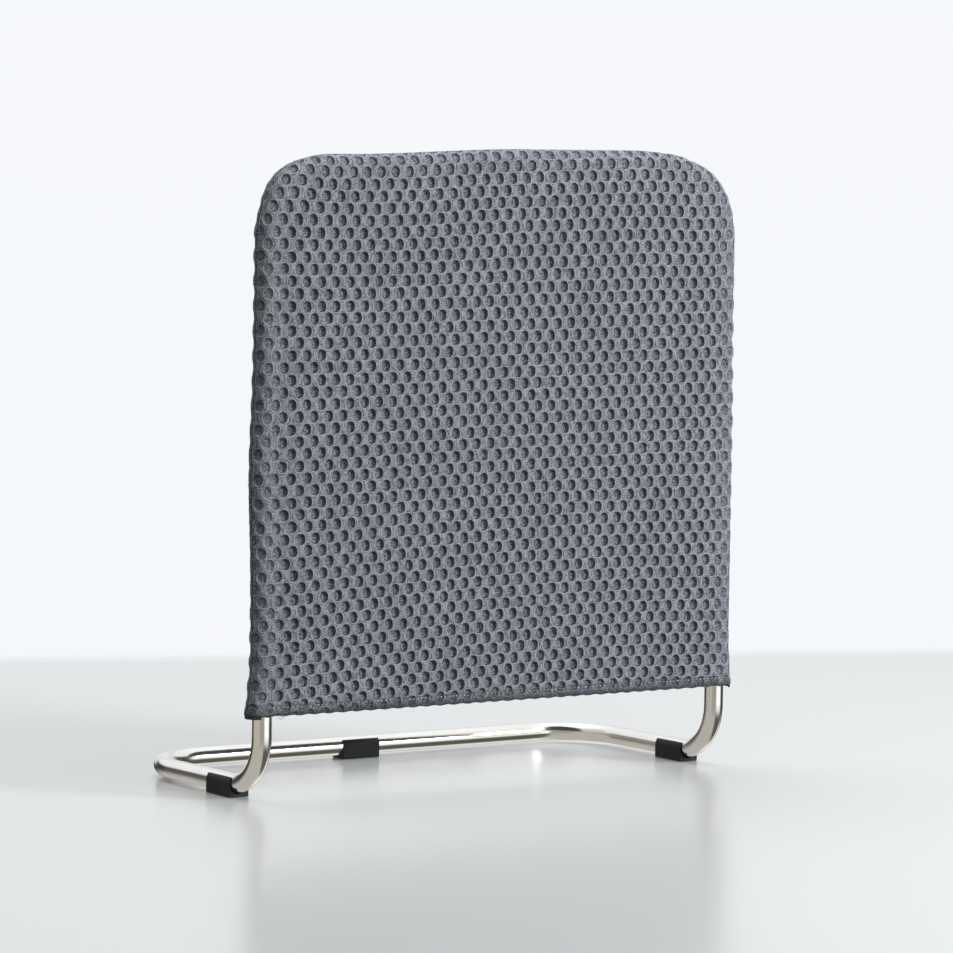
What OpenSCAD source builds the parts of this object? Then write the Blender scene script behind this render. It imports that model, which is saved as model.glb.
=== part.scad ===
// Free-standing back support: a bent-tube frame on clip-on feet, with a
// pull-off sleeve of spacer mesh over its upright hoop.
// The floor is z = 0, the front is -Y, and the origin is under the middle.

/* [Frame tube] */
// Outside diameter of the tube
tube_d = 12; // [10:0.5:14]
// Wall thickness of the tube
tube_wall = 1; // [0.8:0.1:1.5]
// Distance between the centrelines of the two uprights
span = 343; // [300:1:380]
// Height of the top bar's centreline above the floor
top_z = 383.5; // [340:1:440]
// Distance from the uprights' centrelines back to the rear bar's
base_depth = 146; // [130:1:190]
// Centreline radius of the two top corners
top_r = 44; // [36:0.5:60]
// Centreline radius of the bends from the uprights into the side rails
heel_r = 32; // [26:0.5:40]
// Centreline radius of the two rear corners
rear_r = 43; // [32:0.5:50]
// Length of the plugs that join the two halves of the tube
spigot_len = 44; // [30:1:60]
// Radial gap between a plug and the inside of the tube
spigot_gap = 0.05; // [0.02:0.01:0.1]

/* [Feet] */
// Length of a foot along its tube
foot_len = 27; // [20:0.5:34]
// Width of a foot across its tube
foot_w = 13.8; // [13.2:0.1:17]
// Height of a foot's lips above the floor
foot_h = 12.4; // [10.5:0.1:13]
// Height of the tube's underside above the floor
foot_sole = 2; // [1.5:0.1:4]
// Radius of the long edges of a foot's sole
foot_edge = 1; // [0.5:0.1:2]
// Radial gap between a foot's grip and the tube
foot_gap = 0.05; // [0.02:0.01:0.1]
// How far a front foot reaches forward past the end of the straight rail
foot_lead = 6.5; // [0:0.5:8]
// Extra radius of the relief at a front foot's front end
heel_relief = 0.15; // [0.1:0.05:0.3]
// Centre of the rear foot, measured to the right of the middle
rear_foot_x = -7.5; // [-100:0.5:100]

/* [Cover] */
// Thickness of the spacer mesh where it is pulled tight
mesh_t = 1.9; // [1.5:0.1:4]
// Gap between the mesh and the tube
ease = 0.3; // [0.3:0.05:1]
// Height of the hem above the floor
hem_z = 52.7; // [46:0.1:80]
// Thickness of the binding between the front and back panels
tape_t = 1.2; // [0.8:0.1:2]
// How far the ends of the binding hang below the hem
tape_tail = 1.5; // [0:0.1:4]
// Height of the hem's stitch line above the hem
stitch_h = 5.5; // [4:0.1:10]
// Width and thickness of the stitch line
thread = [0.6, 0.4];

/* [Hidden] */
$fn = 96;

tube_r = tube_d / 2;
rail_z = foot_sole + tube_r;
// Half lengths of the straight stretches between the bends
top_half = span / 2 - top_r;
rear_half = span / 2 - rear_r;
rail_end = base_depth - rear_r;
upright_top = top_z - top_r;
grip_r = tube_r + foot_gap;
cover_in = tube_r + ease;
cover_out = cover_in + mesh_t;
// The flat panels run this far over the rounded edge sweeps that join them
lap = 6;
// The uprights' plane, which puts the middle of the whole object at y = 0
upright_y = -(base_depth + foot_w / 2 - cover_out - thread[1]) / 2;

steel = [0.72, 0.70, 0.66];
rubber = [0.05, 0.05, 0.055];
mesh_grey = [0.27, 0.28, 0.31];
tape_black = [0.03, 0.03, 0.035];
thread_grey = [0.55, 0.56, 0.58];

// ---- Frame ----

module tube_section() {
    difference() {
        circle(r = tube_r);
        circle(r = tube_r - tube_wall);
    }
}

// The right half, from the middle of the top bar round to the middle of the rear bar
module tube_half() {
    translate([top_half, 0, top_z])
        rotate([0, -90, 0])
            linear_extrude(top_half) tube_section();
    translate([top_half, 0, upright_top])
        rotate([90, 0, 0])
            rotate_extrude(angle = 90)
                translate([top_r, 0]) tube_section();
    translate([span / 2, 0, rail_z + heel_r])
        linear_extrude(upright_top - rail_z - heel_r) tube_section();
    translate([span / 2, heel_r, rail_z + heel_r])
        rotate([-90, 0, 0])
            rotate([0, 90, 0])
                rotate_extrude(angle = 90)
                    translate([heel_r, 0]) tube_section();
    translate([span / 2, heel_r, rail_z])
        rotate([-90, 0, 0])
            linear_extrude(rail_end - heel_r) tube_section();
    translate([rear_half, rail_end, rail_z])
        rotate_extrude(angle = 90)
            translate([rear_r, 0]) tube_section();
    translate([rear_half, base_depth, rail_z])
        rotate([0, -90, 0])
            linear_extrude(rear_half) tube_section();
}

module frame_right() {
    color(steel)
        translate([0, upright_y, 0])
            tube_half();
}

module frame_left() {
    color(steel)
        translate([0, upright_y, 0])
            mirror([1, 0, 0]) tube_half();
}

// A solid plug inside the joint of the two halves, with chamfered ends
module spigot() {
    r = tube_r - tube_wall - spigot_gap;
    chamfer = 1;
    rotate([0, 90, 0]) {
        cylinder(r = r, h = spigot_len - 2 * chamfer, center = true);
        for (side = [0, 1])
            mirror([0, 0, side])
                translate([0, 0, spigot_len / 2 - chamfer])
                    cylinder(r1 = r, r2 = r - chamfer, h = chamfer);
    }
}

module top_spigot() {
    color(steel)
        translate([0, upright_y, top_z]) spigot();
}

module rear_spigot() {
    color(steel)
        translate([0, upright_y + base_depth, rail_z]) spigot();
}

// ---- Feet ----

// Across the tube: a flat sole, upright sides, and lips that hug the tube's shoulders
module foot_section() {
    side = foot_w / 2;
    difference() {
        intersection() {
            union() {
                translate([0, rail_z]) circle(r = side);
                translate([-side, foot_edge]) square([foot_w, rail_z - foot_edge]);
                translate([foot_edge - side, 0])
                    square([foot_w - 2 * foot_edge, rail_z]);
                for (x = [foot_edge - side, side - foot_edge])
                    translate([x, foot_edge]) circle(r = foot_edge);
            }
            translate([-foot_w, 0]) square([2 * foot_w, foot_h]);
        }
        translate([0, rail_z]) circle(r = grip_r);
    }
}

// A front foot grips the rail, and its front end is relieved along the chord
// of the bend, so that the rising tube clears its lips
module front_foot() {
    chord_angle = asin(foot_lead / heel_r) / 2;
    difference() {
        translate([span / 2, heel_r - foot_lead + foot_len, 0])
            rotate([90, 0, 0])
                linear_extrude(foot_len) foot_section();
        translate([span / 2, heel_r, rail_z])
            rotate([90 - chord_angle, 0, 0])
                cylinder(r = grip_r + heel_relief, h = foot_len);
    }
}

module foot_right() {
    color(rubber)
        translate([0, upright_y, 0]) front_foot();
}

module foot_left() {
    color(rubber)
        translate([0, upright_y, 0])
            mirror([1, 0, 0]) front_foot();
}

module foot_rear() {
    color(rubber)
        translate([rear_foot_x - foot_len / 2, upright_y + base_depth, 0])
            rotate([90, 0, 90])
                linear_extrude(foot_len) foot_section();
}

// ---- Cover ----

// Sweeps a profile round the upright hoop, from z = low on one side to the other.
// The profile's x points out from the tube's centreline, and its y is +Y.
module round_hoop(low) {
    for (side = [0, 1])
        mirror([side, 0, 0]) {
            translate([span / 2, 0, low])
                linear_extrude(upright_top - low) children();
            translate([top_half, 0, upright_top])
                rotate([90, 0, 0])
                    rotate_extrude(angle = 90)
                        translate([top_r, 0])
                            mirror([0, 1]) children();
        }
    translate([top_half, 0, top_z])
        rotate([0, -90, 0])
            linear_extrude(2 * top_half) children();
}

// The outline of the hoop's centreline, closed at the hem
module hoop_outline() {
    translate([-span / 2, hem_z]) square([span, upright_top - hem_z]);
    translate([-top_half, hem_z]) square([2 * top_half, top_z - hem_z]);
    for (x = [-top_half, top_half])
        translate([x, upright_top]) circle(r = top_r);
}

// One panel of the sleeve: flat between the tubes, and wrapped round them
// until it meets the binding at a distance seam in front of y = 0
module panel(seam) {
    translate([0, -cover_in, 0])
        rotate([90, 0, 0])
            linear_extrude(mesh_t) hoop_outline();
    round_hoop(hem_z) {
        intersection() {
            difference() {
                circle(r = cover_out);
                circle(r = cover_in);
            }
            translate([0, -cover_out]) square([cover_out, cover_out - seam]);
        }
        translate([-lap, -cover_out]) square([lap, mesh_t]);
    }
}

module cover_front() {
    color(mesh_grey)
        translate([0, upright_y, 0]) panel(0);
}

module cover_back() {
    color(mesh_grey)
        translate([0, upright_y, 0])
            mirror([0, 1, 0]) panel(tape_t);
}

// The binding between the panels, whose ends hang below the hem
module seam_tape() {
    color(tape_black)
        translate([0, upright_y, 0])
            round_hoop(hem_z - tape_tail)
                translate([cover_in + 0.05, 0])
                    square([mesh_t - 0.05, tape_t]);
}

// The hem's stitch line, which stands on the outside of a panel
module hem_thread() {
    translate([-span / 2, -cover_out - thread[1], hem_z + stitch_h])
        cube([span, thread[1], thread[0]]);
}

module hem_thread_front() {
    color(thread_grey)
        translate([0, upright_y, 0]) hem_thread();
}

module hem_thread_back() {
    color(thread_grey)
        translate([0, upright_y, 0])
            mirror([0, 1, 0]) hem_thread();
}

frame_left();
frame_right();
top_spigot();
rear_spigot();
foot_left();
foot_right();
foot_rear();
cover_front();
cover_back();
seam_tape();
hem_thread_front();
hem_thread_back();
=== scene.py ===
"""Looks for the portable back support: a bent-tube frame on clip-on feet, in a sleeve of spacer mesh.

Lengths are in millimetres until they become mesh coordinates, which are metres.
The front of the object is -Y, and its upright hoop stands in the plane y = hoop_y.
Each panel of the sleeve is laid out as a flat cut, in x and z, and then bent round the hoop.
"""

import math

import bpy
import numpy as np
from mathutils import Matrix, Vector
from mathutils.geometry import delaunay_2d_cdt


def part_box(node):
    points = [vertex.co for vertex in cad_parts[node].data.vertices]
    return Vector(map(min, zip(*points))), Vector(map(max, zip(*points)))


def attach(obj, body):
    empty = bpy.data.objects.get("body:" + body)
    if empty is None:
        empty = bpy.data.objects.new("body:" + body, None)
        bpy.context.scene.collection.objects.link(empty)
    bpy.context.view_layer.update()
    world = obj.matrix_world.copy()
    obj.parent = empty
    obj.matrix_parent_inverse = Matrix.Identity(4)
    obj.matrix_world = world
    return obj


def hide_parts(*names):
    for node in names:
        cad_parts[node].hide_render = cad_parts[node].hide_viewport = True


MM = 0.001
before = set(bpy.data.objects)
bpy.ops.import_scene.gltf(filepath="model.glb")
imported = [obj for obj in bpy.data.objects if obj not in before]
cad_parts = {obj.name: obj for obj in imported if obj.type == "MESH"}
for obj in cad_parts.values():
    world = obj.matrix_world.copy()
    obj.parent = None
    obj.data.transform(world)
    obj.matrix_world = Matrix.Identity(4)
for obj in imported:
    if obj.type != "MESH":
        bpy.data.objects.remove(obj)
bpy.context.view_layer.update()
scene = bpy.context.scene
chance = np.random.RandomState(7)


# ---- Sizes read from the frame ----

def span_mm(node):
    """A node's lowest and highest corner, in millimetres."""
    low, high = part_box(node)
    return np.array(low) / MM, np.array(high) / MM


tube_low, tube_high = span_mm("frame_right")
tape_low, tape_high = span_mm("seam_tape")
cover_low, _ = span_mm("cover_front")

TUBE_R = 6.0  # outside radius of the frame's tube
TOP_R = 44.0  # radius of the hoop's top corners, at the tube's centreline
half_span = tube_high[0] - TUBE_R  # the hoop's centreline, its uprights and its top bar
top_z = tube_high[2] - TUBE_R
hoop_y = tube_low[1] + TUBE_R
top_half = half_span - TOP_R  # where the top corners start
upright_top = top_z - TOP_R
hem_z = cover_low[2]
tape_end = tape_low[2]
tape_back = tape_high[1] - hoop_y  # how far the binding reaches behind the hoop's plane

# ---- The sleeve ----

SKIN_R = 7.9  # from the tube's centreline to the outside of the mesh, round the tube
LINING_R = 6.35  # and to its inside
THINNEST = 0.25  # the mesh at the bottom of its deepest pits and at its edges
PUFF = 1.9  # how much thicker the mesh is between the tubes, where nothing squeezes it
PUFF_OVER = 22.0  # and the distance in from the tube over which it thickens

CROWN = 4.0  # how far the top edge rises between the corners
CROWN_START, CROWN_RISE = 8.0, 135.0  # it starts so far right of the left corner, and rises over so much
CROWN_STOP, CROWN_FALL = 14.0, 60.0  # it ends so far short of the right upright, and falls over so much
CROWN_DROP, CROWN_FADE = 70.0, 105.0  # it fades out so far below the corners, over so much height

BULGE = (2.1, 0.9)  # how far the left and right sides stand off the tubes, at their fullest
FLARE = (3.9, 3.0)  # and at the hem
CORNER = (3.2, 1.8)  # and at the top corners
FLARE_HIGH = 40.0  # height over which the flare dies away
SIDE_IN, SIDE_OVER = 30.0, 36.0  # the sides start to move so far inside the upright, over so much width
CORNER_START, CORNER_OVER = 15.0, 30.0  # and the corners so far from their centre, over so much
left_belly_z, LEFT_BELLY_HIGH = hem_z + 147.3, 42.0  # the middle and the spread of the left side's bulge
right_belly_top, RIGHT_BELLY_FADE = hem_z + 247.3, 90.0  # the right side bulges from here down

CELL_PITCH = 10.22  # between neighbouring cells in a row
ROW_PITCH = 7.19  # between rows, which are staggered by half a cell
ROW_STRETCH, STRETCHED_ROWS = 0.345, 9.0  # what the top rows add to it, and how slowly that dies away
first_row_z, last_row_z = top_z + 20.2, hem_z - 4.0
SIDE_CELLS = 20  # cells in a row, to each side of its middle one
CELL_SHIFT = 1.9  # how far the front panel's lattice stands from the middle
CELL_TILT = 0.0136  # rise of the rows to the right, because the cut isn't quite square to the knit
CELL_LEAN = 0.0265  # and lean of the columns to the left
CELL_W = 6.0
CELL_H = 7.0
CELL_POWER = 2.35  # between an ellipse (2) and a rectangle
CELL_DEPTH = 2.0
TIGHT_DEPTH = 0.95  # where the mesh is stretched round the tube
CELL_SCATTER, CELL_SPREAD = 0.14, 0.035  # random differences in a cell's place, and in its size as a share
CELL_SEARCH = 9.0  # every point between cells is nearer than this to a cell's middle
PIT_RIM, PIT_WALL = 0.78, 0.2  # where a cell's wall starts, and its width; 1 is the cell's half size
RIDGE = 0.55  # how far the net rises from a cell's rim to the middle of the strand
RIDGE_START, RIDGE_WIDE = 0.95, 0.6  # in the same measure as the wall

PULL_Z = 220.0  # the knit is pulled askew by bends and waves about this height
PULL_UNIT = 100.0  # and each is given for a distance of 100 mm
BEND_X, BEND_Z = -0.5, 0.4
TWIST_X, TWIST_Z = 0.4, 1.0
WAVE_X, WAVE_Z = 0.5, 0.6

PLAIN_EDGE = 0.8  # a border so wide has no pits at all
SEAM_FADE, HEM_FADE = 2.5, 2.0  # they reach their full depth over so much, from the seam and the hem
STITCH_UP = 5.5  # height of the hem's stitch line above the hem
STITCH_PITCH = 2.9
GROOVE_DEEP, GROOVE_WIDE = 0.8, 0.9  # what the stitches press into the mesh
BELOW_STITCH = 0.5  # share of the pits' depth that is left below the stitch line
CALM_UP, CALM_OVER = 1.0, 3.0  # and it starts to grow back so far above the line, over so much
HEM_ROLL, HEM_ROLL_HIGH = 1.9, 8.0  # how far the hem is drawn in, and the height over which that fades
HEM_ROLL_IN, HEM_ROLL_FADE = 2.0, 12.0  # it starts so far inside the upright, over so much width
SEAM_ROUND = (1.3, 0.9)  # width and depth of the rounded edge at the seam
HEM_ROUND = (1.6, 1.2)  # and at the hem
EDGE_SLOPE = 0.96  # how far round those edges turn; at 1 they would end upright
SCALLOP = 0.35  # the hem's edge waves by this much from cell to cell


def smooth(t):
    t = np.clip(t, 0.0, 1.0)
    return t * t * (3.0 - 2.0 * t)


def side_value(x, pair):
    """The first of a pair on the object's left, and the second on its right."""
    return np.where(x > 0, pair[1], pair[0])


def outside(x, z):
    """How far a point of the flat cut lies outside the hoop's centreline; inside is negative."""
    right, up = np.abs(x) - top_half, z - upright_top
    corner = (right > 0) & (up > 0)
    return np.where(corner, np.hypot(right, up), np.maximum(right, up)) - TOP_R


def outward(x, z):
    """The unit direction in which outside() grows, as two arrays."""
    right, up = np.abs(x) - top_half, z - upright_top
    corner = (right > 0) & (up > 0)
    length = np.maximum(np.hypot(right, up), 1e-9)
    side = right >= up
    nx = np.where(corner, right / length, np.where(side, 1.0, 0.0))
    nz = np.where(corner, up / length, np.where(side, 0.0, 1.0))
    return nx * np.sign(x), nz


def settle(x, y, z):
    """Moves points from the sleeve's pattern to the sewn sleeve.

    Its top edge is crowned, and its sides stand off the tubes low down, at the hem and at the corners."""
    rise = CROWN * smooth((x + top_half - CROWN_START) / CROWN_RISE)
    rise = rise * smooth((half_span - CROWN_STOP - x) / CROWN_FALL)
    rise = rise * smooth((z - upright_top + CROWN_DROP) / CROWN_FADE)

    side = smooth((np.abs(x) - half_span + SIDE_IN) / SIDE_OVER)
    left_belly = np.exp(-((z - left_belly_z) / LEFT_BELLY_HIGH) ** 2)
    right_belly = smooth((right_belly_top - z) / RIGHT_BELLY_FADE)
    flare = np.clip(1.0 - (z - hem_z) / FLARE_HIGH, 0.0, 1.0) ** 2
    off = side_value(x, BULGE) * side_value(x, (left_belly, right_belly)) + side_value(x, FLARE) * flare

    over, up = np.maximum(np.abs(x) - top_half, 0.0), np.maximum(z - upright_top, 0.0)
    far = np.maximum(np.hypot(over, up), 1e-9)
    full = side_value(x, CORNER) * (2 * over * up / far ** 2) ** 4
    full = full * smooth((far - CORNER_START) / CORNER_OVER)
    return x + np.sign(x) * (side * off + full * over / far), y, z + rise + full * up / far


def wrap(x, z, radius, facing):
    """Puts points of the flat cut onto the hoop: flat between the tubes, and bent round them outside.

    facing is -1 for the front panel and +1 for the back one."""
    s = np.maximum(outside(x, z), 0.0)
    nx, nz = outward(x, z)
    turn = s / SKIN_R
    reach = radius * np.sin(turn)
    px = x - nx * s + nx * reach
    pz = z - nz * s + nz * reach
    py = hoop_y + facing * radius * np.cos(turn)
    return np.stack(settle(px, py, pz), axis=1)


def edge_polygon(reach, step):
    """The flat cut's outline, counter-clockwise from the left end of the hem, with a scalloped hem."""
    out = half_span + reach
    corner_r = TOP_R + reach
    count = int(2 * out / step)
    xs = np.linspace(-out, out, count + 1)
    hem = [(x, hem_z + SCALLOP * math.cos(2 * math.pi * x / CELL_PITCH)) for x in xs]
    count = int((upright_top - hem_z) / step)
    rise = [(out, hem_z + (upright_top - hem_z) * i / count) for i in range(1, count)]
    count = int(corner_r * math.pi / 2 / step)
    turns = [math.pi / 2 * i / count for i in range(count + 1)]
    corner = [(top_half + corner_r * math.cos(t), upright_top + corner_r * math.sin(t)) for t in turns]
    count = int(2 * top_half / step)
    top = [(top_half - 2 * top_half * i / count, top_z + reach) for i in range(1, count)]
    mirrored = [(-x, z) for x, z in reversed(rise + corner)]
    return np.array(hem + rise + corner + top + mirrored)


def make_cells(shift):
    """Centres and half sizes of every cell: a staggered lattice, pulled a little askew over the hoop."""
    centres, z, row = [], first_row_z, 0
    while z > last_row_z:
        start = shift - SIDE_CELLS * CELL_PITCH + (0.0 if row % 2 else 0.5 * CELL_PITCH)
        centres += [(start + k * CELL_PITCH, z) for k in range(2 * SIDE_CELLS + 1)]
        z -= ROW_PITCH + ROW_STRETCH * math.exp(-row / STRETCHED_ROWS)
        row += 1
    c = np.array(centres)
    u, v = c[:, 0] / PULL_UNIT, (c[:, 1] - PULL_Z) / PULL_UNIT
    drift_x = (BEND_X * u * u - PULL_UNIT * CELL_LEAN * v
               + TWIST_X * v * (u * u - v * v) + WAVE_X * np.sin(2.1 * v + 1.1 * u))
    drift_z = (BEND_Z * v * v + PULL_UNIT * CELL_TILT * u
               + TWIST_Z * v * (u * u - 0.5 * v * v) + WAVE_Z * np.sin(1.6 * u + 1.0))
    c += np.stack([drift_x, drift_z], axis=1)
    c += chance.normal(0.0, CELL_SCATTER, c.shape)
    half = np.array([CELL_W, CELL_H]) / 2 * (1 + chance.normal(0.0, CELL_SPREAD, c.shape))
    return c, half


RINGS = ((0.0, 1), (0.45, 6), (0.78, 12), (0.98, 14), (1.18, 14))  # size and number of points of each ring
RIM_RING = 0.9  # rings larger than this are turned by half a point
NET_POINTS = ((0.5, 0.0), (0.0, 0.66), (0.25, 0.5), (-0.25, 0.5), (0.5, 0.28), (0.5, -0.28))  # in pitches


def cell_points(centres, half):
    """Mesh points on rings round each cell, and on the net between the cells."""
    points = []
    for k, count in RINGS:
        t = 2 * np.pi * (np.arange(count) + 0.5 * (k > RIM_RING)) / count
        power = 2 / CELL_POWER
        ux = np.sign(np.cos(t)) * np.abs(np.cos(t)) ** power
        uz = np.sign(np.sin(t)) * np.abs(np.sin(t)) ** power
        ring = np.stack([ux, uz], axis=1) * k
        points.append((centres[:, None, :] + ring[None] * half[:, None, :]).reshape(-1, 2))
    net = np.array(NET_POINTS) * np.array([CELL_PITCH, ROW_PITCH])
    points.append((centres[:, None, :] + net[None]).reshape(-1, 2))
    return np.concatenate(points)


def nearest_cell(points, centres, half):
    """For each point, how far it is from the nearest cell's middle, where 1 is the rim, and which cell."""
    order = np.argsort(centres[:, 1])
    middle, size = centres[order], half[order]
    first = np.searchsorted(middle[:, 1], points[:, 1] - CELL_SEARCH)
    last = np.searchsorted(middle[:, 1], points[:, 1] + CELL_SEARCH)
    best, which = np.full(len(points), CELL_SEARCH), np.zeros(len(points), int)
    for i, point in enumerate(points):
        near = np.arange(first[i], last[i])
        near = near[np.abs(middle[near, 0] - point[0]) < CELL_SEARCH]
        if len(near):
            k = (np.abs((point - middle[near]) / size[near]) ** CELL_POWER).sum(axis=1)
            best[i] = k.min() ** (1 / CELL_POWER)
            which[i] = order[near[k.argmin()]]
    return best, which


def slack(x, z):
    """1 where the mesh is at rest, and less towards the tubes, most of all beside the uprights."""
    margin, spare_at_top, fade = 2.0, 14.0, 15.0
    return smooth((margin - outside(x, z) + spare_at_top * smooth((z - upright_top) / TOP_R)) / fade)


def skin_radius(points, k, reach):
    """Distance of the mesh's outer face from the hoop's centreline; k is what nearest_cell() gives."""
    s = outside(points[:, 0], points[:, 1])
    top = SKIN_R + PUFF * smooth(-s / PUFF_OVER)
    depth = TIGHT_DEPTH + (CELL_DEPTH - TIGHT_DEPTH) * slack(points[:, 0], points[:, 1])
    seam = reach - s
    hem = points[:, 1] - hem_z
    calm = smooth((seam - PLAIN_EDGE) / SEAM_FADE) * smooth((hem - PLAIN_EDGE) / HEM_FADE)
    calm = calm * (BELOW_STITCH + (1 - BELOW_STITCH) * smooth((hem - STITCH_UP - CALM_UP) / CALM_OVER))
    pit = 1.0 - smooth((k - PIT_RIM) / PIT_WALL)
    net = RIDGE * smooth((k - RIDGE_START) / RIDGE_WIDE)
    groove = GROOVE_DEEP * np.exp(-((hem - STITCH_UP) / GROOVE_WIDE) ** 2)
    rolled = HEM_ROLL * smooth(1.0 - hem / HEM_ROLL_HIGH) * smooth((-HEM_ROLL_IN - s) / HEM_ROLL_FADE)
    radius = top + (net - depth * pit) * calm - groove - rolled
    for gap, (over, drop) in ((seam, SEAM_ROUND), (hem, HEM_ROUND)):
        near = np.clip(1.0 - gap / over, 0.0, 1.0)
        radius -= (1.0 - np.sqrt(1.0 - EDGE_SLOPE * near ** 2)) * drop
    return np.maximum(radius, LINING_R + THINNEST)


# ---- Meshes ----

def triangulate(points, loop_count):
    """Delaunay triangles over points; the first loop_count of them are the closed outline."""
    loop = [(i, (i + 1) % loop_count) for i in range(loop_count)]
    made = delaunay_2d_cdt([Vector(p) for p in points], loop, [], 1, 1e-6, True)
    origin = np.array([ids[0] if ids else -1 for ids in made[3]])
    triangles = origin[np.array([f for f in made[2] if len(f) == 3])]
    triangles = triangles[(triangles >= 0).all(axis=1)]
    # Between three points of the outline, a triangle that is flat or runs clockwise lies outside it.
    ends = np.sort(triangles, axis=1)
    a, b, c = points[ends[:, 0]], points[ends[:, 1]], points[ends[:, 2]]
    turn = (b[:, 0] - a[:, 0]) * (c[:, 1] - a[:, 1]) - (b[:, 1] - a[:, 1]) * (c[:, 0] - a[:, 0])
    return triangles[(ends[:, 2] >= loop_count) | (turn > 1e-3)]


def mesh_object(name, vertices, faces, material):
    mesh = bpy.data.meshes.new(name)
    mesh.from_pydata([tuple(v) for v in np.asarray(vertices) * MM], [], [tuple(f) for f in faces])
    mesh.validate()
    mesh.update()
    mesh.shade_smooth()
    mesh.materials.append(material)
    made = bpy.data.objects.new(name, mesh)
    scene.collection.objects.link(made)
    return made


def add_loft(points, faces, rings, flip=False):
    """Adds a closed skin through rings of points, with its ends capped; flip turns it inside out."""
    first, sides = len(points), len(rings[0])
    for ring in rings:
        points.extend(ring)
    for i in range(len(rings) - 1):
        for j in range(sides):
            a, b = first + i * sides + j, first + i * sides + (j + 1) % sides
            faces.append((a, a + sides, b + sides, b) if flip else (a, b, b + sides, a + sides))
    start = tuple(range(first, first + sides))
    end = tuple(range(len(points) - sides, len(points)))
    faces += [start, end[::-1]] if flip else [start[::-1], end]


def set_values(mesh, name, kind, domain, values):
    """Adds an attribute for the material to read; a vector is given as one row for each element."""
    values = np.asarray(values, np.float32)
    key = "vector" if kind == "FLOAT_VECTOR" else "value"
    mesh.attributes.new(name, kind, domain).data.foreach_set(key, values.ravel())


# ---- Panels ----

EDGE_STEP = 1.7  # between points along a panel's outline
EDGE_ROWS = (0.45, 1.1)  # rows of points just inside it
LOWEST_ROW = 0.2  # how far such a point has to be above the hem
SPARE = 0.05  # allowance where points are compared with the outline
CELLS_IN = 0.9  # the points round the cells stop so far inside it
STITCH_ROWS = (-1.1, -0.4, 0.4, 1.1)  # rows of points along the stitch line
STITCH_STEP, STITCH_CLEAR = 1.5, 1.5  # between those points, and from the line to the cells' points
STITCH_ROW_END = 1.6  # how far short of the seam they stop
LINING_STEP = 6.0  # between points of the lining's grid
LINING_SIDE = 190.0  # half the grid's width, a little more than the panel's
LINING_UP, LINING_IN = 5.0, 2.0  # how far the grid stays above the hem, and inside the hoop's centreline
BENT_STEP = 4.0  # between points where the lining bends round the tube
BENT_ROWS = (0.0, 0.35, 0.7)  # rows of them, as shares of the way from the centreline to the seam
BENT_UP = 2.0  # and how far they stay above the hem
OPEN_UP, OPEN_OVER = 3.0, 5.0  # the pit walls get their painted shade from so far above the hem, fully after so much
CELL_NUMBERS = 97  # the cells' numbers start again after this many
HEM_SHADE, HEM_SHADE_HIGH = 0.8, 7.5  # how much painted shade darkens the hem's bottom edge, and the height it fades over


def face_points(outline, reach, centres, half):
    """Points of a panel's outer face: its outline, then rows along its edges and stitches, then cells."""
    on_hem = outline[:, 1] < hem_z + SCALLOP + SPARE
    nx, nz = outward(outline[:, 0], outline[:, 1])
    rows = [outline]
    for gap in EDGE_ROWS:
        x = outline[:, 0] - np.where(on_hem, 0.0, nx * gap)
        z = outline[:, 1] + np.where(on_hem, gap, -nz * gap)
        kept = (outside(x, z) < reach - gap + SPARE) & (z > hem_z + LOWEST_ROW)
        rows.append(np.stack([x, z], axis=1)[kept])
    wide = half_span + reach - STITCH_ROW_END
    for rise in STITCH_ROWS:
        xs = np.arange(-wide, wide, STITCH_STEP)
        rows.append(np.stack([xs, np.full_like(xs, hem_z + STITCH_UP + rise)], axis=1))
    body = cell_points(centres, half)
    x, z = body.T
    inside = (outside(x, z) < reach - CELLS_IN) & (z > hem_z + CELLS_IN + SCALLOP)
    rows.append(body[inside & (np.abs(z - hem_z - STITCH_UP) > STITCH_CLEAR)])
    return np.concatenate(rows)


def lining_points(outline, reach):
    """Points of a panel's lining: its outline first, then a grid, then rows that bend round the tube."""
    grid_x, grid_z = np.meshgrid(np.arange(-LINING_SIDE, LINING_SIDE, LINING_STEP),
                                 np.arange(hem_z + LINING_UP, top_z, LINING_STEP))
    grid = np.stack([grid_x.ravel(), grid_z.ravel()], axis=1)
    grid = grid[outside(grid[:, 0], grid[:, 1]) < -LINING_IN]
    bent = [edge_polygon(reach * share, BENT_STEP) for share in BENT_ROWS]
    return np.concatenate([outline, grid, *[row[row[:, 1] > hem_z + BENT_UP] for row in bent]])


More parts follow.
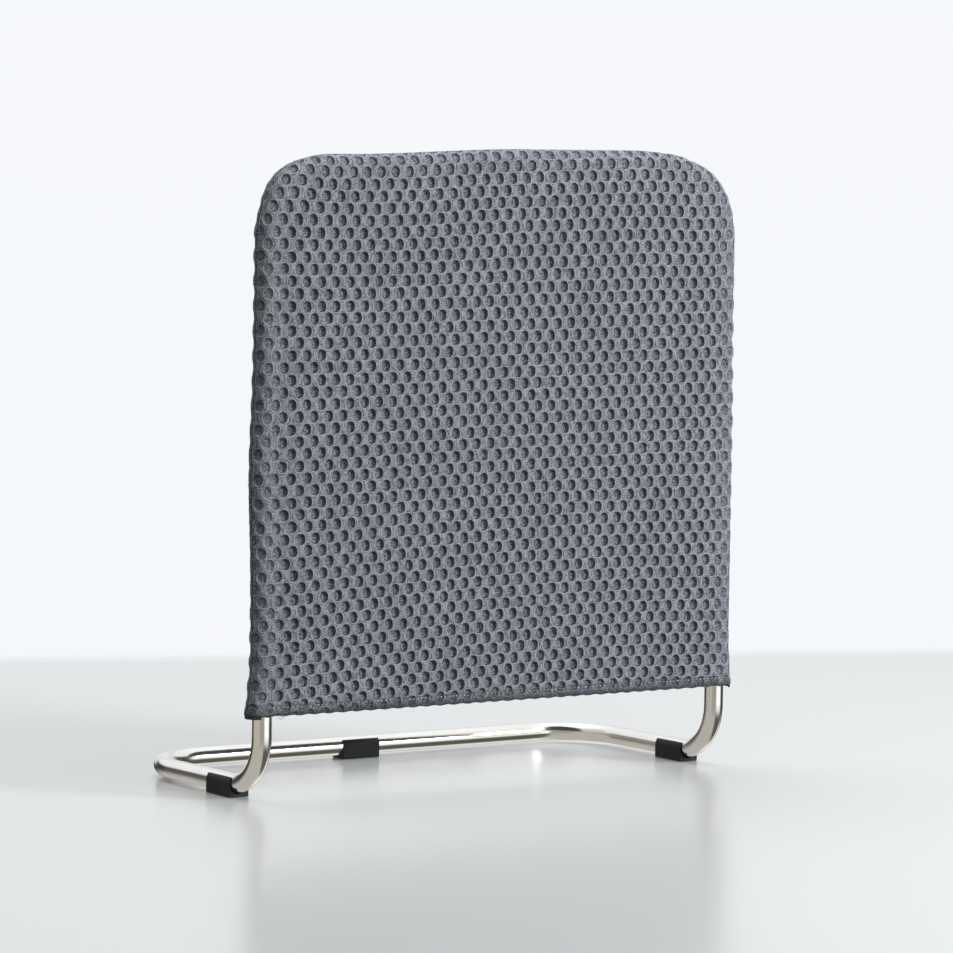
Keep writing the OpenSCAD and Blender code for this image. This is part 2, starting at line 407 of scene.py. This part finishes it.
def make_panel(name, facing, reach, shift, material):
    """One panel of the sleeve as a closed sheet: a celled face, a plain lining, and a rim between them.

    Its material reads four attributes: cut, the place on the flat cut; cell, the middle and number of
    the nearest cell; open, how slack the mesh is, which also sets the painted shade in the pit walls; and
    the hem's shade factor, which falls towards the hem to paint shade along its bottom edge."""
    outline = edge_polygon(reach, EDGE_STEP)
    centres, half = make_cells(shift)
    face = face_points(outline, reach, centres, half)
    inner = lining_points(outline, reach)
    n, m = len(outline), len(face)
    triangles, lining_triangles = triangulate(face, n), triangulate(inner, n)
    k, which = nearest_cell(face, centres, half)
    skin = wrap(face[:, 0], face[:, 1], skin_radius(face, k, reach), facing)
    lining = wrap(inner[:, 0], inner[:, 1], np.full(len(inner), LINING_R), facing)
    faces = [tuple(t) for t in triangles]
    faces += [tuple(t[::-1] + m) for t in lining_triangles]
    faces += [((i + 1) % n, (i + 1) % n + m, i + m, i) for i in range(n)]
    if facing > 0:
        faces = [tuple(reversed(f)) for f in faces]
    panel = mesh_object(name, np.concatenate([skin, lining]), faces, material)

    cut = np.zeros((m + len(inner), 3))
    cut[:, :2] = np.concatenate([face, inner])
    set_values(panel.data, "cut", "FLOAT_VECTOR", "POINT", cut * MM)
    owner = which[triangles[np.arange(len(triangles)), k[triangles].argmin(axis=1)]]
    cell = np.zeros((len(faces), 3))
    cell[:, 1] = -1.0  # a metre below, so that no cell shows on the lining
    cell[:len(triangles), :2] = centres[owner] * MM
    cell[:len(triangles), 2] = owner % CELL_NUMBERS
    set_values(panel.data, "cell", "FLOAT_VECTOR", "FACE", cell)
    up = face[:, 1] - hem_z
    loose = slack(face[:, 0], face[:, 1]) * smooth((up - OPEN_UP) / OPEN_OVER)
    set_values(panel.data, "open", "FLOAT", "POINT", np.concatenate([loose, np.zeros(len(inner))]))
    # The hem's painted shade: darker towards its bottom edge.
    hem_shade_factor = 1.0 - HEM_SHADE * smooth(1.0 - up / HEM_SHADE_HIGH)
    set_values(panel.data, "hem_shade_factor", "FLOAT", "POINT", np.concatenate([hem_shade_factor, np.ones(len(inner))]))
    return panel


# ---- Materials ----

def new_material(name):
    material = bpy.data.materials.new(name)
    material.use_nodes = True
    tree = material.node_tree
    return material, tree, tree.nodes["Principled BSDF"]


def plug(tree, socket, value):
    """Sets a socket, or links it if the value is another node's output."""
    if isinstance(value, bpy.types.NodeSocket):
        tree.links.new(value, socket)
    else:
        socket.default_value = value


def maths(tree, operation, *values):
    made = tree.nodes.new("ShaderNodeMath")
    made.operation = operation
    for socket, value in zip(made.inputs, values):
        plug(tree, socket, value)
    return made.outputs[0]


def times(tree, a, b):
    return maths(tree, "MULTIPLY", a, b)


def weighted_sum(tree, a, share_a, b, share_b):
    return maths(tree, "ADD", times(tree, a, share_a), times(tree, b, share_b))


def step_up(tree, value, low, high):
    """0 below low, 1 above high, and smooth between; with low above high it falls instead."""
    made = tree.nodes.new("ShaderNodeMapRange")
    made.interpolation_type = "SMOOTHSTEP"
    plug(tree, made.inputs["Value"], value)
    made.inputs["From Min"].default_value = min(low, high)
    made.inputs["From Max"].default_value = max(low, high)
    made.inputs["To Min"].default_value = 0.0 if low < high else 1.0
    made.inputs["To Max"].default_value = 1.0 if low < high else 0.0
    return made.outputs["Result"]


def blend_colour(tree, factor, a, b, kind="MIX"):
    made = tree.nodes.new("ShaderNodeMix")
    made.data_type = "RGBA"
    made.blend_type = kind
    for socket, value in ((made.inputs[0], factor), (made.inputs[6], a), (made.inputs[7], b)):
        plug(tree, socket, value)
    return made.outputs[2]


def two_tone(tree, factor, low, high, start=0.0, end=1.0):
    """A colour ramp between two colours, given as red, green and blue."""
    ramp = tree.nodes.new("ShaderNodeValToRGB")
    ramp.color_ramp.elements[0].position = start
    ramp.color_ramp.elements[1].position = end
    ramp.color_ramp.elements[0].color = (*low, 1)
    ramp.color_ramp.elements[1].color = (*high, 1)
    plug(tree, ramp.inputs["Fac"], factor)
    return ramp.outputs["Color"]


def noise(tree, vector, scale, detail=2.0):
    made = tree.nodes.new("ShaderNodeTexNoise")
    made.inputs["Scale"].default_value = scale
    made.inputs["Detail"].default_value = detail
    plug(tree, made.inputs["Vector"], vector)
    return made.outputs["Fac"]


def dots(tree, vector, scale):
    """The distance to the nearest of many scattered points."""
    made = tree.nodes.new("ShaderNodeTexVoronoi")
    made.inputs["Scale"].default_value = scale
    plug(tree, made.inputs["Vector"], vector)
    return made.outputs["Distance"]


def object_place(tree):
    return tree.nodes.new("ShaderNodeTexCoord").outputs["Object"]


def read_attribute(tree, name, output):
    made = tree.nodes.new("ShaderNodeAttribute")
    made.attribute_name = name
    return made.outputs[output]


def parts_of(tree, vector):
    made = tree.nodes.new("ShaderNodeSeparateXYZ")
    plug(tree, made.inputs[0], vector)
    return made.outputs


def joined(tree, x, y, z):
    made = tree.nodes.new("ShaderNodeCombineXYZ")
    for socket, value in zip(made.inputs, (x, y, z)):
        plug(tree, socket, value)
    return made.outputs[0]


def roughen(tree, shader, height, strength, depth_mm):
    bump = tree.nodes.new("ShaderNodeBump")
    bump.inputs["Strength"].default_value = strength
    bump.inputs["Distance"].default_value = depth_mm * MM
    plug(tree, bump.inputs["Height"], height)
    tree.links.new(bump.outputs["Normal"], shader.inputs["Normal"])


def cell_place(tree, cut):
    """How far a point is from its cell's middle, where 1 is the rim, in which direction, and which cell."""
    x, z, _ = parts_of(tree, cut)
    cell_x, cell_z, number = parts_of(tree, read_attribute(tree, "cell", "Vector"))
    across = maths(tree, "DIVIDE", maths(tree, "SUBTRACT", x, cell_x), CELL_W / 2 * MM)
    along = maths(tree, "DIVIDE", maths(tree, "SUBTRACT", z, cell_z), CELL_H / 2 * MM)
    powers = [maths(tree, "POWER", maths(tree, "ABSOLUTE", v), CELL_POWER) for v in (across, along)]
    k = maths(tree, "POWER", maths(tree, "ADD", *powers), 1 / CELL_POWER)
    return k, maths(tree, "ARCTAN2", along, across), number


def spacer_mesh_material():
    """Knitted spacer mesh: pale yarns laid round each cell, painted shade in the pit walls along with the
    dark of their open knit, a painted highlight round each rim, and a finer knit on the floors.
    """
    yarn_dark, yarn_pale = (0.075, 0.081, 0.099), (0.415, 0.438, 0.50)
    floor_pale, floor_dark = (0.41, 0.432, 0.488), (0.098, 0.105, 0.122)
    # The first is painted shade for the pit walls, the second a painted highlight for the cells' rims.
    painted_pit_shade, painted_rim_highlight = (0.016, 0.017, 0.020, 1), (0.62, 0.64, 0.69, 1)
    yarn_length, yarn_pitch, cell_offset = 1.7, 4.2, 13.7
    fibre_scale, loop_scale, patch_scale = 1450.0, 1250.0, 22.0
    # Strength and least share of the walls' painted shade, share of the rims' painted highlight, and height
    # of the lip's bump.
    wall_shade, least_shade, rim_highlight_share, lip_height = 0.55, 0.2, 0.18, 0.5

    material, tree, shader = new_material("spacer_mesh")
    cut = read_attribute(tree, "cut", "Vector")
    k, bearing, number = cell_place(tree, cut)
    lay = joined(tree, times(tree, maths(tree, "COSINE", bearing), yarn_length),
                 times(tree, maths(tree, "SINE", bearing), yarn_length),
                 weighted_sum(tree, k, yarn_pitch, number, cell_offset))
    knit = weighted_sum(tree, noise(tree, lay, 1.0, 1.0), 0.5, noise(tree, cut, fibre_scale), 0.5)
    net = two_tone(tree, knit, yarn_dark, yarn_pale, 0.37, 0.63)
    floor = two_tone(tree, dots(tree, cut, loop_scale), floor_pale, floor_dark, 0.12, 0.62)
    past_rim = step_up(tree, k, 0.84, 0.98)
    colour = blend_colour(tree, past_rim, floor, net)

    # Painted shade in the pit walls, along with the dark of their open knit; it is strongest where the mesh
    # is slack and the pits are deep.
    wall = times(tree, step_up(tree, k, 0.70, 0.86), step_up(tree, k, 1.02, 0.94))
    shaded = maths(tree, "MULTIPLY_ADD", read_attribute(tree, "open", "Fac"), wall_shade, least_shade)
    colour = blend_colour(tree, times(tree, wall, shaded), colour, painted_pit_shade)
    # A painted highlight round each cell's rim; the same lip also raises the bump below.
    lip = times(tree, step_up(tree, k, 0.93, 1.04), step_up(tree, k, 1.22, 1.08))
    colour = blend_colour(tree, times(tree, lip, rim_highlight_share), colour, painted_rim_highlight)

    patches = two_tone(tree, noise(tree, cut, patch_scale), (0.84, 0.84, 0.85), (1.1, 1.1, 1.09))
    # Painted shade darkens the hem towards its bottom edge.
    painted_hem_shade = two_tone(tree, read_attribute(tree, "hem_shade_factor", "Fac"), (0.2, 0.2, 0.2), (1.0, 1.0, 1.0))
    for tint in (patches, painted_hem_shade):
        colour = blend_colour(tree, 1.0, colour, tint, "MULTIPLY")
    plug(tree, shader.inputs["Base Color"], colour)
    roughen(tree, shader, maths(tree, "MULTIPLY_ADD", lip, lip_height, knit), 0.7, 0.8)
    shader.inputs["Roughness"].default_value = 0.9
    shader.inputs["Specular IOR Level"].default_value = 0.2
    shader.inputs["Sheen Weight"].default_value = 0.03
    return material


def steel_material():
    """Satin-polished stainless tube, slightly warm and faintly clouded."""
    dull, bright = (0.60, 0.59, 0.548), (0.74, 0.732, 0.697)
    material, tree, shader = new_material("satin_steel")
    place = object_place(tree)
    lines = noise(tree, place, 900.0)
    clouds = noise(tree, place, 45.0, 3.0)
    plug(tree, shader.inputs["Base Color"], two_tone(tree, clouds, dull, bright))
    plug(tree, shader.inputs["Roughness"], maths(tree, "MULTIPLY_ADD", lines, 0.10, 0.11))
    roughen(tree, shader, lines, 0.08, 0.2)
    shader.inputs["Metallic"].default_value = 1.0
    return material


def moulded_material():
    """Black moulded plastic with a fine eroded grain and slightly scuffed patches."""
    black, scuffed = (0.009, 0.0105, 0.012), (0.024, 0.027, 0.030)
    material, tree, shader = new_material("moulded_black")
    place = object_place(tree)
    scuffs = noise(tree, place, 160.0, 4.0)
    plug(tree, shader.inputs["Base Color"], two_tone(tree, scuffs, black, scuffed, 0.3, 0.75))
    plug(tree, shader.inputs["Roughness"], maths(tree, "MULTIPLY_ADD", scuffs, 0.25, 0.36))
    roughen(tree, shader, noise(tree, place, 2200.0), 0.3, 0.12)
    shader.inputs["Specular IOR Level"].default_value = 0.22
    return material


def tape_material():
    """Black woven binding."""
    raised, sunken = (0.026, 0.027, 0.030), (0.006, 0.006, 0.007)
    material, tree, shader = new_material("binding_black")
    weave = dots(tree, object_place(tree), 1500.0)
    plug(tree, shader.inputs["Base Color"], two_tone(tree, weave, raised, sunken))
    roughen(tree, shader, weave, 0.5, 0.3)
    shader.inputs["Roughness"].default_value = 0.85
    return material


def thread_material():
    """Pale grey twisted sewing thread, soiled here and there."""
    shaded, pale, soiled = (0.40, 0.41, 0.44), (0.76, 0.77, 0.79), (0.22, 0.23, 0.25, 1)
    material, tree, shader = new_material("thread_pale")
    place = object_place(tree)
    twist = tree.nodes.new("ShaderNodeTexWave")
    twist.bands_direction = "DIAGONAL"
    twist.inputs["Scale"].default_value = 700.0
    plug(tree, twist.inputs["Vector"], place)
    colour = two_tone(tree, twist.outputs["Fac"], shaded, pale)
    worn = step_up(tree, noise(tree, place, 260.0), 0.40, 0.58)
    plug(tree, shader.inputs["Base Color"], blend_colour(tree, worn, colour, soiled))
    roughen(tree, shader, twist.outputs["Fac"], 0.4, 0.2)
    shader.inputs["Roughness"].default_value = 0.6
    return material


SPACER = spacer_mesh_material()
STEEL = steel_material()
MOULDED = moulded_material()
BINDING = tape_material()
THREAD = thread_material()


# ---- Frame and feet: CAD nodes with finer materials ----

WELD_WITHIN = 0.01  # joins the CAD mesh's doubled points, so that its edges can be softened
SHARP_ANGLE = 40.0  # degrees


def dress(name, material, bevel=0.0):
    """Gives a CAD node its material and, if asked, softened edges."""
    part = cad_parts[name]
    part.data.materials.clear()
    part.data.materials.append(material)
    if bevel:
        weld = part.modifiers.new("weld", "WELD")
        weld.merge_threshold = WELD_WITHIN * MM
        soft = part.modifiers.new("soft_edges", "BEVEL")
        soft.width = bevel * MM
        soft.segments = 2
        soft.limit_method = "ANGLE"
        soft.angle_limit = math.radians(SHARP_ANGLE)
        soft.harden_normals = True


for name in ("frame_left", "frame_right", "top_spigot", "rear_spigot"):
    dress(name, STEEL)
for name in ("foot_left", "foot_right", "foot_rear"):
    dress(name, MOULDED, 0.3)


# ---- Binding ----

TAPE_IN, TAPE_OUT = 6.5, 7.25  # its inner and outer distance from the hoop's centreline
TAPE_RIB, RIB_DEEP = 1.6, 0.12  # between ribs, and how far they stand out
TAPE_GAP = 0.08  # between the binding and the panels
TAPE_ROUND = (0.2, 0.35)  # how far its outer edges are cut back, inward and sideways
TAB_BEHIND = 30.0  # degrees that the tab at each end turns round the upright, from the side to the back
TAB_BEFORE = (80.0, 58.0)  # and from the side to the front, on the left and on the right
TAB_STEPS = 24
TAB_OVER = 0.1  # how far the tab reaches up behind the hem
TAB_RIPPLE, RIPPLE_TURN = 0.1, 1.9  # height of its ripples, and radians of their wave from step to step
TAB_CUT = 0.1  # its inner edge ends so far above its outer one


def hoop_path(step):
    """Points round the hoop from the right end of the binding to the left, each with its way outward."""
    path = [(half_span, z, 1.0, 0.0) for z in np.arange(tape_end, upright_top, step)]
    for t in np.arange(0.0, math.pi / 2, step / TOP_R):
        nx, nz = math.cos(t), math.sin(t)
        path.append((top_half + TOP_R * nx, upright_top + TOP_R * nz, nx, nz))
    path += [(x, top_z, 0.0, 1.0) for x in np.arange(top_half, 0.0, -step)]
    return path + [(-x, z, -nx, nz) for x, z, nx, nz in reversed(path)]


def tape_rings():
    """Sections of the ribbed band in the seam, four to a rib."""
    inward, sideways = TAPE_ROUND
    rings = []
    for i, (x, z, nx, nz) in enumerate(hoop_path(TAPE_RIB / 4)):
        out = TAPE_OUT + RIB_DEEP * math.sin(i * math.pi / 2)
        profile = ((TAPE_IN, TAPE_GAP), (out - inward, TAPE_GAP), (out, sideways),
                   (out, tape_back - sideways), (out - inward, tape_back - TAPE_GAP),
                   (TAPE_IN, tape_back - TAPE_GAP))
        rings.append([(x + nx * radius, hoop_y + y, z + nz * radius) for radius, y in profile])
    return rings


def tab_rings(side, before):
    """Sections of the wider tab that shows below the hem round one upright."""
    behind, before = math.radians(TAB_BEHIND), math.radians(before)
    inward = TAPE_ROUND[0]
    rings = []
    for i in range(TAB_STEPS + 1):
        t = -behind + (before + behind) * i / TAB_STEPS
        out = TAPE_OUT + TAB_RIPPLE * math.sin(i * RIPPLE_TURN)
        profile = ((TAPE_IN, tape_end + TAB_CUT), (out - inward, tape_end), (out, tape_end + inward),
                   (out, hem_z + TAB_OVER), (TAPE_IN, hem_z + TAB_OVER))
        rings.append([(side * (half_span + radius * math.cos(t)), hoop_y - radius * math.sin(t), z)
                      for radius, z in profile])
    return rings


def make_tape(name, material):
    """The black binding in the seam between the panels."""
    points, faces = [], []
    add_loft(points, faces, tape_rings(), flip=True)
    for side, before in zip((-1, 1), TAB_BEFORE):
        add_loft(points, faces, tab_rings(side, before), flip=side < 0)
    return mesh_object(name, np.stack(settle(*np.array(points).T), axis=1), faces, material)


# ---- Stitches ----

THREAD_R, LOOP_R = 0.33, 0.17  # radius of the thread in the hem, and of the loose loop's single strand
THREAD_END = 0.55  # its radius at the two ends, as a share
THREAD_SIDES = 6
STITCH_LONG = (1.5, 2.1)  # shortest and longest
STITCH_SHIFT, STITCH_RISE = 0.15, 0.2  # random differences in place
STITCH_TURN = (-0.12, 0.16)  # and in slope
STITCH_PROUD, STITCH_SUNK = 0.62, 0.3  # height of a stitch over its groove, and how far its ends dip
STITCHES_END = 2.0  # how far short of the seam they stop
LOOP_IN, LOOP_UNDER = 11.0, 0.4  # the loop's middle, in from the left upright and below the hem
LOOP_WIDE, LOOP_HIGH, LOOP_DEEP = 1.5, 1.1, 0.3  # its half sizes
LOOP_TURN, LOOP_POINTS = 0.9, 15  # how much of a full turn it makes


def add_thread(points, faces, line, radius):
    """Adds a round thread along a line of points, with rounded ends."""
    across = (0.0, 0.3, 1.0)  # a direction that no thread runs in
    turns = [2 * math.pi * j / THREAD_SIDES for j in range(THREAD_SIDES)]
    line = np.asarray(line)
    steps = np.gradient(line, axis=0)
    steps /= np.linalg.norm(steps, axis=1)[:, None]
    rings = []
    for i, (centre, step) in enumerate(zip(line, steps)):
        side = np.cross(step, across)
        side /= np.linalg.norm(side)
        other = np.cross(side, step)
        size = radius * (THREAD_END if i in (0, len(line) - 1) else 1.0)
        rings.append([centre + size * (math.cos(t) * side + math.sin(t) * other) for t in turns])
    add_loft(points, faces, rings)


def loop_line(facing):
    """A loose loop of thread that hangs below the hem beside the left upright."""
    t = np.linspace(-LOOP_TURN, LOOP_TURN, LOOP_POINTS) * math.pi
    xs = -half_span + LOOP_IN + LOOP_WIDE * np.sin(t)
    zs = hem_z - LOOP_UNDER - LOOP_HIGH * np.cos(t)
    return wrap(xs, zs, LINING_R + 1.0 + LOOP_DEEP * np.cos(t), facing)


def make_stitches(name, facing, reach, material, loop=False):
    """A row of dashes in the hem's stitch groove and, if asked, a loose loop of thread below the hem."""
    points, faces = [], []
    wide = half_span + reach - STITCHES_END
    along = np.linspace(-1, 1, 5)
    on_net = np.full(len(along), 2.0)
    for x in np.arange(-wide, wide, STITCH_PITCH):
        x = x + chance.uniform(-STITCH_SHIFT, STITCH_SHIFT)
        length = chance.uniform(*STITCH_LONG)
        z = hem_z + STITCH_UP + chance.uniform(-STITCH_RISE, STITCH_RISE)
        tilt = chance.uniform(*STITCH_TURN)
        xs = np.linspace(x, x + length, len(along))
        flat = np.stack([xs, z + tilt * (xs - x)], axis=1)
        radius = skin_radius(flat, on_net, reach) + STITCH_PROUD - STITCH_SUNK * along ** 4
        add_thread(points, faces, wrap(flat[:, 0], flat[:, 1], radius, facing), THREAD_R)
    if loop:
        add_thread(points, faces, loop_line(facing), LOOP_R)
    return mesh_object(name, points, faces, material)


# ---- Cover ----

def place_on_cover(piece, node):
    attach(piece, "cover")
    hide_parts(node)


front_reach = SKIN_R * math.pi / 2  # how far each cut goes on past the hoop's centreline, to the seam
back_reach = SKIN_R * math.acos(tape_back / SKIN_R)
front = make_panel("spacer_mesh_front", -1, front_reach, CELL_SHIFT, SPACER)
back = make_panel("spacer_mesh_back", 1, back_reach, -CELL_SHIFT, SPACER)
tape = make_tape("seam_binding", BINDING)
stitches_front = make_stitches("hem_stitches_front", -1, front_reach, THREAD, loop=True)
stitches_back = make_stitches("hem_stitches_back", 1, back_reach, THREAD)
place_on_cover(front, "cover_front")
place_on_cover(back, "cover_back")
place_on_cover(tape, "seam_tape")
place_on_cover(stitches_front, "hem_thread_front")
place_on_cover(stitches_back, "hem_thread_back")


# ---- Camera, floor and light; metres and radians ----

VIEW_AWAY, VIEW_HEIGHT = 2.9423, 0.4093  # of the camera from the hoop's middle, and above the floor
VIEW_TURN, VIEW_AIM = 0.6109, 0.6062  # where it stands, and where it points, round the vertical
VIEW_DIP, VIEW_ROLL = 0.0737, 0.0147
VIEW_LENS = 179.4  # on a sensor 36 mm wide
FLOOR_SIDE = 6.0  # half the floor's width
FLOOR_END, FLOOR_TURN, FLOOR_FADE = 0.64, 0.40, 0.04  # its far edge: how far, which way, and how soft
FLOOR_TONE, FLOOR_ROUGH, FLOOR_GLOSS = (0.545, 0.56, 0.552, 1), 0.24, 0.7
LAMP_AIM = Vector((0, 0, 0.2))


def make_camera():
    """A long lens, in front and to one side of the object, a little above its top."""
    data = bpy.data.cameras.new("camera")
    data.sensor_width = 36.0
    data.lens = VIEW_LENS
    data.clip_start, data.clip_end = 0.1, 100.0
    camera = bpy.data.objects.new("camera", data)
    scene.collection.objects.link(camera)
    x, y = -VIEW_AWAY * math.sin(VIEW_TURN), hoop_y * MM - VIEW_AWAY * math.cos(VIEW_TURN)
    dip = math.cos(VIEW_DIP)
    ahead = Vector((math.sin(VIEW_AIM) * dip, math.cos(VIEW_AIM) * dip, -math.sin(VIEW_DIP)))
    level = Vector((math.cos(VIEW_AIM), -math.sin(VIEW_AIM), 0.0))
    right = level * math.cos(VIEW_ROLL) + level.cross(ahead) * math.sin(VIEW_ROLL)
    turned = Matrix((right, right.cross(ahead), -ahead)).transposed().to_4x4()
    camera.matrix_world = Matrix.Translation((x, y, VIEW_HEIGHT)) @ turned
    scene.camera = camera


def make_floor():
    """A pale, slightly glossy floor, which ends softly against the white backdrop behind the object."""
    mesh = bpy.data.meshes.new("floor")
    corners = [(x * FLOOR_SIDE, y * FLOOR_SIDE, 0) for x, y in ((-1, -1), (1, -1), (1, 1), (-1, 1))]
    mesh.from_pydata(corners, [], [(0, 1, 2, 3)])
    floor = bpy.data.objects.new("floor", mesh)
    scene.collection.objects.link(floor)
    material, tree, shader = new_material("floor")
    shader.inputs["Base Color"].default_value = FLOOR_TONE
    shader.inputs["Roughness"].default_value = FLOOR_ROUGH
    shader.inputs["Specular IOR Level"].default_value = FLOOR_GLOSS
    x, y, _ = parts_of(tree, object_place(tree))
    away = weighted_sum(tree, x, math.sin(FLOOR_TURN), y, math.cos(FLOOR_TURN))
    clear = tree.nodes.new("ShaderNodeBsdfTransparent")
    blend = tree.nodes.new("ShaderNodeMixShader")
    plug(tree, blend.inputs["Fac"], step_up(tree, away, FLOOR_END - FLOOR_FADE, FLOOR_END + FLOOR_FADE))
    plug(tree, blend.inputs[1], shader.outputs["BSDF"])
    plug(tree, blend.inputs[2], clear.outputs["BSDF"])
    plug(tree, tree.nodes["Material Output"].inputs["Surface"], blend.outputs["Shader"])
    mesh.materials.append(material)
    floor.visible_glossy = False  # the world stands in for it in reflections and as bounced light
    floor.visible_diffuse = False


def grey(value, warmth=0.0):
    """A grey for the studio, slightly warm or, if negative, cool."""
    return value * (1 + warmth), value, value * (1 - 1.6 * warmth), 1


def layered(tree, base, *layers):
    """A colour with others laid over it in turn, each given as a factor and a colour."""
    for factor, colour in layers:
        base = blend_colour(tree, factor, base, colour)
    return base


def lit_room(tree, right, z, backdrop):
    """The studio as it lights the object: darker at the sides and below, brightest overhead and behind."""
    left_wall, right_wall = step_up(tree, right, 0.1, -0.5), step_up(tree, right, 0.2, 0.7)
    ground, ceiling = step_up(tree, z, 0.05, -0.1), step_up(tree, z, 0.25, 0.80)
    far_wall = times(tree, backdrop, step_up(tree, z, -0.05, 0.05))
    return layered(tree, grey(0.34), (left_wall, grey(0.08)), (right_wall, grey(0.12)),
                   (ground, grey(0.12, 0.05)), (ceiling, grey(0.85, -0.02)), (far_wall, grey(0.95, -0.02)))


def shining_room(tree, ahead, right, z, backdrop):
    """The studio as the steel reflects it: a level band with two bright panels, a ceiling, and a floor."""
    front = step_up(tree, ahead, 0.25, -0.05)
    left_panel = times(tree, step_up(tree, right, -0.2, -0.5), step_up(tree, ahead, 0.45, 0.1))
    right_panel = times(tree, step_up(tree, right, 0.42, 0.6), step_up(tree, ahead, 0.1, -0.15))
    level = layered(tree, grey(0.07), (front, grey(0.44, 0.02)),
                    (left_panel, grey(0.62, 0.08)), (right_panel, grey(1.5)))
    above = layered(tree, grey(1.25, -0.02), (front, grey(0.8, 0.03)),
                    (step_up(tree, z, 0.5, 0.8), grey(1.4, -0.01)))
    floor_edge = times(tree, step_up(tree, right, 0.0, 0.3), step_up(tree, ahead, 0.1, 0.4))
    floor_shade = times(tree, step_up(tree, right, 0.35, 0.55), step_up(tree, ahead, 0.6, 0.3))
    below = layered(tree, grey(0.62, 0.04), (floor_edge, grey(1.1)), (floor_shade, grey(0.13, 0.1)))
    far_wall = times(tree, backdrop, step_up(tree, z, -0.1, 0.0))
    return layered(tree, level, (step_up(tree, z, 0.14, 0.34), above),
                   (step_up(tree, z, -0.15, -0.5), below), (far_wall, grey(0.95, -0.01)))


def make_world():
    """A studio in three versions: the backdrop that is seen, the object's light, and its reflections."""
    world = bpy.data.worlds.new("studio")
    scene.world = world
    world.use_nodes = True
    tree = world.node_tree
    tree.nodes.clear()
    x, y, z = parts_of(tree, tree.nodes.new("ShaderNodeTexCoord").outputs["Generated"])
    aim_x, aim_y = math.sin(VIEW_AIM), math.cos(VIEW_AIM)
    ahead = weighted_sum(tree, x, aim_x, y, aim_y)
    right = weighted_sum(tree, x, aim_y, y, -aim_x)
    backdrop = step_up(tree, ahead, 0.80, 0.93)
    seen = layered(tree, grey(0.94, -0.014), (step_up(tree, z, 0.026, -0.04), grey(0.935, -0.018)))

    rays = tree.nodes.new("ShaderNodeLightPath").outputs
    colour = layered(tree, lit_room(tree, right, z, backdrop),
                     (rays["Is Glossy Ray"], shining_room(tree, ahead, right, z, backdrop)),
                     (rays["Is Camera Ray"], seen))
    background = tree.nodes.new("ShaderNodeBackground")
    plug(tree, background.inputs["Color"], colour)
    out = tree.nodes.new("ShaderNodeOutputWorld")
    plug(tree, out.inputs["Surface"], background.outputs["Background"])


def softbox(name, place, size, power):
    data = bpy.data.lights.new(name, "AREA")
    data.shape = "RECTANGLE"
    data.size, data.size_y = size
    data.energy = power
    lamp = bpy.data.objects.new(name, data)
    lamp.location = place
    lamp.rotation_euler = (LAMP_AIM - Vector(place)).to_track_quat("-Z", "Y").to_euler()
    scene.collection.objects.link(lamp)


make_camera()
make_floor()
make_world()
softbox("key", (1.05, -1.75, 0.95), (0.6, 1.2), 44)
softbox("overhead", (0.0, 0.5, 2.2), (1.6, 1.6), 18)
scene.view_settings.view_transform = "Standard"
